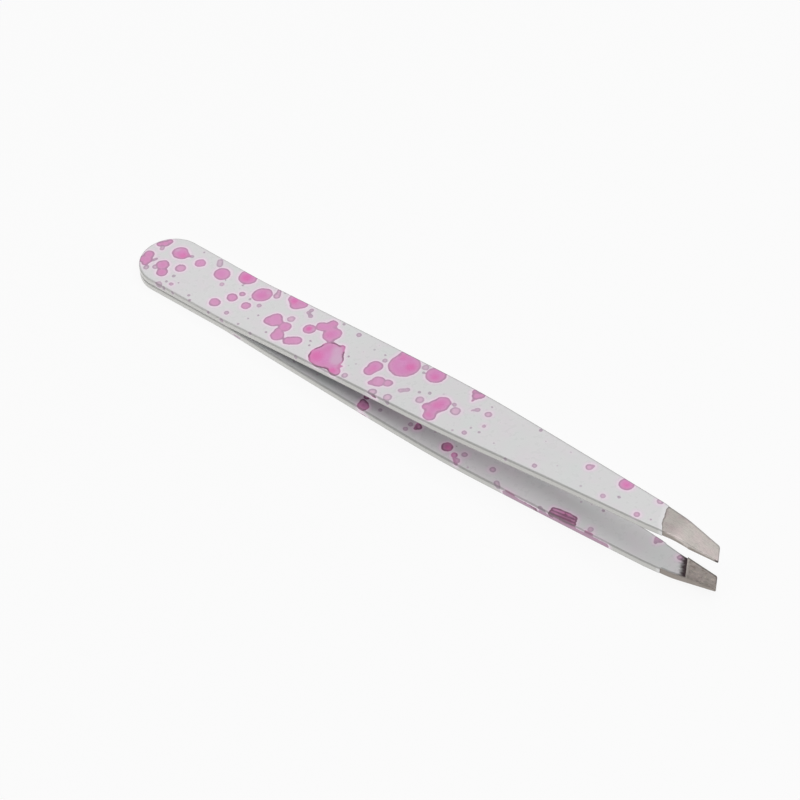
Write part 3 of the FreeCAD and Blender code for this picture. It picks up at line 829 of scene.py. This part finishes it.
class Finish:
    """A node material in the making. Colours and numbers are sockets or plain values."""

    def __init__(self, name, **shader):
        self.material = bpy.data.materials.new(name)
        self.material.use_nodes = True
        self.nodes = self.material.node_tree.nodes
        self.links = self.material.node_tree.links
        self.shader = self.nodes["Principled BSDF"]
        self.surface(**shader)

    def put(self, socket, value):
        """Link a socket to another, or set a plain value on it."""
        if isinstance(value, bpy.types.NodeSocket):
            self.links.new(value, socket)
        else:
            socket.default_value = value

    def surface(self, **values):
        """Set the shader's sockets, named with _ for a space."""
        for socket, value in values.items():
            self.put(self.shader.inputs[socket.replace("_", " ")], value)

    def kept(self, name, output="Fac"):
        """What the mesh keeps for each vertex under a name."""
        node = self.nodes.new("ShaderNodeAttribute")
        node.attribute_name = name
        return node.outputs[output]

    def math(self, operation, first, second):
        """The result of an operation on two numbers."""
        node = self.nodes.new("ShaderNodeMath")
        node.operation = operation
        self.put(node.inputs[0], first)
        self.put(node.inputs[1], second)
        return node.outputs[0]

    def times(self, first, second):
        return self.math("MULTIPLY", first, second)

    def ease(self, value, start, end, low=0.0, high=1.0):
        """A smooth step from low at start to high at end."""
        node = self.nodes.new("ShaderNodeMapRange")
        node.interpolation_type = "SMOOTHSTEP"
        for socket, number in zip(node.inputs, (value, start, end, low, high)):
            self.put(socket, number)
        return node.outputs[0]

    def mix(self, share, first, second):
        """The first colour, or by its share the second."""
        node = self.nodes.new("ShaderNodeMix")
        node.data_type = "RGBA"
        sockets = (node.inputs[0], node.inputs[6], node.inputs[7])
        for socket, value in zip(sockets, (share, first, second)):
            self.put(socket, value)
        return node.outputs[2]

    def scale(self, colour, factor):
        """A colour made brighter or darker."""
        node = self.nodes.new("ShaderNodeVectorMath")
        node.operation = "SCALE"
        self.put(node.inputs[0], colour)
        self.put(node.inputs["Scale"], factor)
        return node.outputs[0]

    def part(self, vector, axis):
        """One of the three numbers of a vector."""
        node = self.nodes.new("ShaderNodeSeparateXYZ")
        self.put(node.inputs[0], vector)
        return node.outputs[axis]

    def stretch(self, vector, scale, turn=0.0):
        """A place that makes a texture finer along each axis by its scale, and turned about Z."""
        node = self.nodes.new("ShaderNodeMapping")
        self.put(node.inputs["Vector"], vector)
        node.inputs["Rotation"].default_value = (0, 0, turn)
        node.inputs["Scale"].default_value = scale
        return node.outputs[0]

    def noise(self, vector, scale, detail):
        """Soft blotches from 0 to 1."""
        node = self.nodes.new("ShaderNodeTexNoise")
        self.put(node.inputs["Vector"], vector)
        node.inputs["Scale"].default_value = scale
        node.inputs["Detail"].default_value = detail
        return node.outputs["Fac"]

    def cells(self, vector, scale):
        """The distance from the nearest of many scattered points, and a shade of its own for each."""
        node = self.nodes.new("ShaderNodeTexVoronoi")
        self.put(node.inputs["Vector"], vector)
        node.inputs["Scale"].default_value = scale
        return node.outputs["Distance"], node.outputs["Color"]

    def bump(self, height, strength, distance):
        """A surface made uneven by a height."""
        node = self.nodes.new("ShaderNodeBump")
        node.inputs["Strength"].default_value = strength
        node.inputs["Distance"].default_value = distance
        self.put(node.inputs["Height"], height)
        return node.outputs[0]


def lacquer_ground(finish, place, edge, tone, side):
    """White with faint rosy and greenish washes and a few flecks, painted shade on the side faces,
    and a halo round each droplet.
    """
    rosy = finish.ease(finish.noise(place, 0.3, 2), 0.4, 0.75, 0.0, 0.5)
    turned = finish.stretch(place, (1, 1, 1), 0.8)
    greenish = finish.ease(finish.noise(turned, 0.26, 2), 0.45, 0.75, 0.0, 0.5)
    white = finish.mix(rosy, WHITE, ROSY_WHITE)
    white = finish.mix(greenish, white, GREENISH_WHITE)
    near, shade = finish.cells(place, 0.42)
    fleck = finish.mix(shade, GREY_FLECK, PINK_FLECK)
    white = finish.mix(finish.ease(near, 0.1, 0.05), white, fleck)
    # painted shade: the side faces are darker
    white = finish.mix(side, white, SHADED_SIDE_WHITE)
    outer = finish.times(finish.ease(edge, 0.74, 0.3, 0.0, 0.6), finish.ease(tone, 0.0, 0.3))
    inner = finish.ease(edge, 0.36, 0.16, 0.0, 0.85)
    inner = finish.times(inner, finish.ease(tone, 0.0, 0.6, 0.15, 1.0))
    ground = finish.mix(outer, white, OUTER_HALO)
    return finish.mix(inner, ground, INNER_HALO)


def droplet_ink(finish, place, edge, tone, side):
    """Ink from grey by mauve to pink, hotter or thinner in places, darker on the side faces as
    painted shade, with a dark and patchy rim.
    """
    cloud = finish.ease(finish.noise(place, 0.6, 3), 0.3, 0.7)
    mauve = finish.mix(cloud, *MAUVE_INKS)
    pink = finish.mix(cloud, *PINK_INKS)
    deep = finish.mix(cloud, *DEEP_INKS)
    ink = finish.mix(finish.ease(tone, 0.0, 0.16), GREY_INK, mauve)
    ink = finish.mix(finish.ease(tone, 0.15, 0.85), ink, pink)
    ink = finish.mix(finish.ease(tone, 0.98, 1.5), ink, deep)
    shore = finish.times(finish.ease(edge, -0.95, -0.15, 0.0, 0.55), finish.ease(tone, 0.3, 0.8))
    ink = finish.mix(shore, ink, SHORE_INK)
    wash = finish.kept("wash")
    ink = finish.mix(finish.ease(wash, 0.0, -1.0, 0.0, 0.8), ink, HOT_INK)
    ink = finish.mix(finish.ease(wash, 0.05, 1.0, 0.0, 0.75), ink, THIN_INK)
    # painted shade: the ink is darker and greyer on the side faces
    ink = finish.mix(finish.times(side, 0.55), ink, SHADED_SIDE_INK)

    patchy = finish.noise(place, 0.55, 2)
    rim_ink = finish.mix(finish.ease(tone, 0.1, 0.7), MAUVE_RIM, PINK_RIM)
    strong_rim = finish.mix(finish.ease(patchy, 0.4, 0.58), *STRONG_RIMS)
    rim_ink = finish.mix(finish.ease(tone, 0.96, 1.0), rim_ink, strong_rim)
    inside_rim = finish.times(finish.ease(edge, -0.34, -0.1), finish.ease(edge, 0.06, -0.02))
    seam = finish.ease(finish.kept("seam"), 0.22, 0.06)
    seam = finish.times(seam, finish.ease(edge, 0.0, -0.08))
    rim = finish.math("MAXIMUM", inside_rim, seam)
    rim = finish.times(rim, finish.ease(patchy, 0.35, 0.6, 0.55, 0.9))
    return finish.mix(rim, ink, rim_ink)


def worn_and_shaded(finish, place, colour):
    """The lacquer's colour, changed at its end, with painted shade at the arrises, scorch and a
    painted shadow near the land, painted light at the head and painted shade in the gap.
    """
    along = finish.part(place, "X")

    # a pale band where the lacquer was cut back, and painted shade as a soft dark line along every
    # arris
    pale = finish.ease(finish.kept("to_end"), 0.75, 0.2, 0.0, 0.6)
    colour = finish.mix(pale, colour, CUT_WHITE)
    strength = finish.ease(along, 12, 40, 0.38, 0.54)
    arris_shading = finish.ease(finish.kept("arris"), 0.27, 0.04, 0.0, strength)
    colour = finish.mix(arris_shading, colour, ARRIS_SHADE)

    # scorched towards the land, with a painted shadow of the land's step, in ragged streaks along the
    # arm
    streaks = finish.noise(finish.stretch(place, (0.7, 2.2, 1)), 1.3, 4)
    ragged = finish.times(finish.math("SUBTRACT", streaks, 0.5), 1.5)
    scorch_and_step_shadow = finish.math("ADD", finish.kept("to_land"), ragged)
    colour = finish.mix(finish.ease(scorch_and_step_shadow, 1.25, 0.35), colour, SCORCH_AND_STEP_SHADOW)

    # painted light makes it brightest at the head, and painted shade darkens it where the gap between
    # the arms is narrow
    colour = finish.scale(colour, finish.ease(along, 24, 48, 1.06, 1.0))
    return finish.mix(finish.times(finish.kept("gap"), 0.42), colour, GAP_SHADOW)


def lacquer_finish():
    """Gloss white lacquer with pink droplets in it, each with a thin dark rim and a pale halo."""
    finish = Finish("lacquer", Coat_Weight=0.3, Coat_Roughness=0.12, IOR=1.45)
    place = finish.kept("rest", "Vector")
    tone = finish.kept("tone")
    side = finish.kept("side")

    # the outlines waver a little
    waver = finish.times(finish.math("SUBTRACT", finish.noise(place, 1.4, 3), 0.5), 0.28)
    edge = finish.math("ADD", finish.kept("print"), waver)
    ground = lacquer_ground(finish, place, edge, tone, side)
    ink = droplet_ink(finish, place, edge, tone, side)
    colour = finish.mix(finish.ease(edge, 0.06, -0.04), ground, ink)
    colour = worn_and_shaded(finish, place, colour)

    sheen = finish.ease(finish.noise(place, 1.2, 3), 0.3, 0.7, 0.26, 0.34)
    raised = finish.ease(edge, 0.12, -0.12, 0.0, 0.3)
    level = finish.math("ADD", finish.noise(place, 0.5, 2), raised)
    finish.surface(Base_Color=colour, Roughness=sheen, Normal=finish.bump(level, 0.1, 0.00003))
    return finish.material


def steel_finish():
    """Satin stainless steel with fine scratches, darker on the ground lands, with painted shade at
    the rims and on the sides and painted light next to the coat.
    """
    finish = Finish("steel", Metallic=1.0)
    place = finish.kept("rest", "Vector")
    side = finish.kept("side")
    coated = finish.kept("coated")
    on_land = finish.kept("ground")
    blotch = finish.noise(place, 0.7, 3)

    # the bright steel, made brightest next to the coat by painted light
    bright = finish.mix(finish.ease(blotch, 0.3, 0.7), *BRIGHT_STEELS)
    bright = finish.scale(bright, finish.ease(coated, 0.0, 4.5, 1.22, 1.0))

    # the mottled land, with a light line at its root
    dull = finish.mix(finish.ease(blotch, 0.35, 0.65), *GROUND_STEELS)
    mottle = finish.noise(place, 2.0, 4)
    dull = finish.mix(finish.ease(mottle, 0.52, 0.72, 0.0, 0.8), dull, PALE_MOTTLE)
    dull = finish.mix(finish.ease(mottle, 0.46, 0.3, 0.0, 0.8), dull, DARK_MOTTLE)
    root = finish.ease(finish.kept("past_land"), 0.4, 0.1, 0.0, 0.7)
    dull = finish.mix(root, dull, STEEL_SHINE)
    colour = finish.mix(on_land, bright, dull)

    # scratches, brushing and grain
    scratches = finish.noise(finish.stretch(place, (1.2, 14, 5), 0.95), 1.0, 4)
    brushing = finish.noise(finish.stretch(place, (1.5, 20, 8), 0.25), 1.0, 3)
    grain = finish.noise(place, 9.0, 2)
    colour = finish.mix(finish.ease(scratches, 0.5, 0.72, 0.0, 0.45), colour, STEEL_SCRATCH)
    colour = finish.mix(finish.ease(brushing, 0.5, 0.7, 0.0, 0.5), colour, STEEL_SHINE)
    colour = finish.mix(finish.ease(grain, 0.5, 0.8, 0.0, 0.3), colour, STEEL_GRAIN)
    # painted shade: the side faces are darker
    colour = finish.mix(finish.times(side, 0.85), colour, SHADED_STEEL_SIDE)

    # painted shade along the rims, most of all on the far side, a painted shadow at the coat's end,
    # and a dark near corner
    worn = finish.ease(finish.part(place, "Y"), -0.6, 0.4, 0.3, 1.0)
    strength = finish.ease(on_land, 0.0, 1.0, 0.4, 0.75)
    rim = finish.ease(finish.kept("arris"), 0.26, 0.0, 0.0, strength)
    colour = finish.mix(finish.times(rim, worn), colour, STEEL_RIM_SHADE)
    colour = finish.mix(finish.ease(coated, 0.3, 0.05, 0.0, 0.45), colour, STEP_SHADOW)
    corner = finish.ease(finish.kept("corner"), 0.75, 0.3, 0.0, 0.8)
    colour = finish.mix(corner, colour, DARK_CORNER)

    rough = finish.ease(blotch, 0.3, 0.7, 0.36, 0.48)
    height = finish.math("ADD", scratches, finish.times(brushing, 0.6))
    finish.surface(Base_Color=colour, Roughness=rough, Normal=finish.bump(height, 0.3, 0.00002))
    return finish.material


def weld_finish():
    """Heat-tinted steel of the spot welds, inside the head."""
    finish = Finish("weld", Metallic=1.0)
    coordinates = finish.nodes.new("ShaderNodeTexCoord").outputs["Object"]
    heat = finish.noise(coordinates, 900, 3)
    colour = finish.mix(finish.ease(heat, 0.3, 0.7), *WELD_TINTS)
    finish.surface(Base_Color=colour, Roughness=finish.ease(heat, 0.3, 0.7, 0.4, 0.6))
    return finish.material


# ---------------------------------------------------------------- the tweezers

def weld_frame():
    """The frame of the weld in the CAD frame, from the two faces that the record mounts by."""
    faces = {mount["name"]: mount for mount in frame["record"]["mounts"]}
    upper, lower = faces["upper_head_face"], faces["lower_head_face"]
    up = Vector(upper["axis"]).normalized()
    side = Vector((0, 1, 0))
    along = side.cross(up)
    middle = (Vector(upper["pos_m"]) + Vector(lower["pos_m"])) / 2
    turn = Matrix((along, side, up)).transposed().to_4x4()
    return Matrix.Translation(middle - along * MOUNT_POSITION * MM) @ turn


def build():
    """Make the two arms around the frame's bodies, and finish the welds that the CAD brings."""
    place = weld_frame()
    lacquer = lacquer_finish()
    steel = steel_finish()
    upper_outer = (UPPER_OUTER_DROPS + specks(UPPER_OUTER_SPECKS), UPPER_OUTER_WASHES)
    upper_inner = (scattered(seed=5, count=60, start=18, end=88), [])
    lower_outer = (scattered(seed=11, count=90, start=1, end=86, near_side=-0.6), [])
    lower_inner = (LOWER_INNER_DROPS + specks(LOWER_INNER_SPECKS), LOWER_INNER_WASHES)
    prints = {"upper": (upper_outer, upper_inner), "lower": (lower_outer, lower_inner)}
    for arm, (outer_print, inner_print) in prints.items():
        mirrored = arm == "lower"
        shank = make_shank(f"{arm}_shank", outer_print, inner_print, place, mirrored)
        shank.data.materials.append(lacquer)
        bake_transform(shank)
        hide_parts(f"{arm}_arm_heel", f"{arm}_blade_lacquer", "head_lacquer")
        jaw = make_jaw(f"{arm}_jaw", place, mirrored)
        jaw.data.materials.append(steel)
        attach(jaw, f"{arm}_blade")
        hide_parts(f"{arm}_arm_blade")
    welds = frame["nodes"]["heel_welds"]
    welds.data.materials.clear()
    welds.data.materials.append(weld_finish())


# ---------------------------------------------------------------- floor, light and camera

FLOOR_SIZE = 3.0
FLOOR_COLOUR = linear(82, 82, 82)
FLOOR_GLOW = 0.89
LIGHT_PLACE = Vector((0.1, 0.0, 0.65))
LIGHT_SIZE = 0.8
LIGHT_POWER = 3.7
HORIZON_TOP = 0.12
SKY_START = 0.35
HORIZON_LIGHT = 0.955
SKY_LIGHT = 0.25
CAMERA_AZIMUTH = math.radians(38.8)
CAMERA_ELEVATION = math.radians(47.66)
CAMERA_DISTANCE = 0.3345
CAMERA_LENS = 115.6
CAMERA_CLIP = (0.01, 10)
CAMERA_AIM = Vector((-0.00184, -0.0012, 0.00304))


def make_floor():
    """A pale floor that glows a little, so that it shows nearly no shadow."""
    mesh = bpy.data.meshes.new("floor")
    half = FLOOR_SIZE / 2
    corners = [(-half, -half, 0), (half, -half, 0), (half, half, 0), (-half, half, 0)]
    mesh.from_pydata(corners, [], [(0, 1, 2, 3)])
    floor = bpy.data.objects.new("floor", mesh)
    bpy.context.scene.collection.objects.link(floor)
    finish = Finish("floor", Base_Color=FLOOR_COLOUR, Roughness=0.9, Specular_IOR_Level=0.0)
    finish.surface(Emission_Color=(1, 1, 1, 1), Emission_Strength=FLOOR_GLOW)
    mesh.materials.append(finish.material)


def make_light():
    """A large soft lamp overhead, aimed at the middle of the floor."""
    lamp = bpy.data.lights.new("overhead", "AREA")
    lamp.shape = "SQUARE"
    lamp.size = LIGHT_SIZE
    lamp.energy = LIGHT_POWER
    light = bpy.data.objects.new("overhead", lamp)
    light.location = LIGHT_PLACE
    light.rotation_euler = (-LIGHT_PLACE).to_track_quat("-Z", "Y").to_euler()
    bpy.context.scene.collection.objects.link(light)


def make_world():
    """A studio that is pale near the horizon and dimmer higher up."""
    world = bpy.data.worlds.new("studio")
    world.use_nodes = True
    nodes = world.node_tree.nodes
    links = world.node_tree.links
    direction = nodes.new("ShaderNodeTexCoord")
    parts = nodes.new("ShaderNodeSeparateXYZ")
    rise = nodes.new("ShaderNodeMapRange")
    rise.interpolation_type = "SMOOTHSTEP"
    rise.inputs["From Min"].default_value = HORIZON_TOP
    rise.inputs["From Max"].default_value = SKY_START
    rise.inputs["To Min"].default_value = HORIZON_LIGHT
    rise.inputs["To Max"].default_value = SKY_LIGHT
    links.new(direction.outputs["Generated"], parts.inputs[0])
    links.new(parts.outputs["Z"], rise.inputs["Value"])
    links.new(rise.outputs[0], nodes["Background"].inputs["Strength"])
    nodes["Background"].inputs["Color"].default_value = (1, 1, 1, 1)
    bpy.context.scene.world = world


def make_camera():
    """The camera, which looks from its azimuth and elevation at the point that it aims at."""
    data = bpy.data.cameras.new("camera")
    data.lens = CAMERA_LENS
    data.clip_start, data.clip_end = CAMERA_CLIP
    camera = bpy.data.objects.new("camera", data)
    level = math.cos(CAMERA_ELEVATION)
    back = Vector(
        (
            math.sin(CAMERA_AZIMUTH) * level,
            -math.cos(CAMERA_AZIMUTH) * level,
            math.sin(CAMERA_ELEVATION),
        )
    )
    camera.location = CAMERA_AIM + back * CAMERA_DISTANCE
    camera.rotation_euler = (-back).to_track_quat("-Z", "Y").to_euler()
    bpy.context.scene.collection.objects.link(camera)
    bpy.context.scene.camera = camera


build()
make_floor()
make_light()
make_world()
make_camera()
bpy.context.scene.view_settings.view_transform = "Standard"
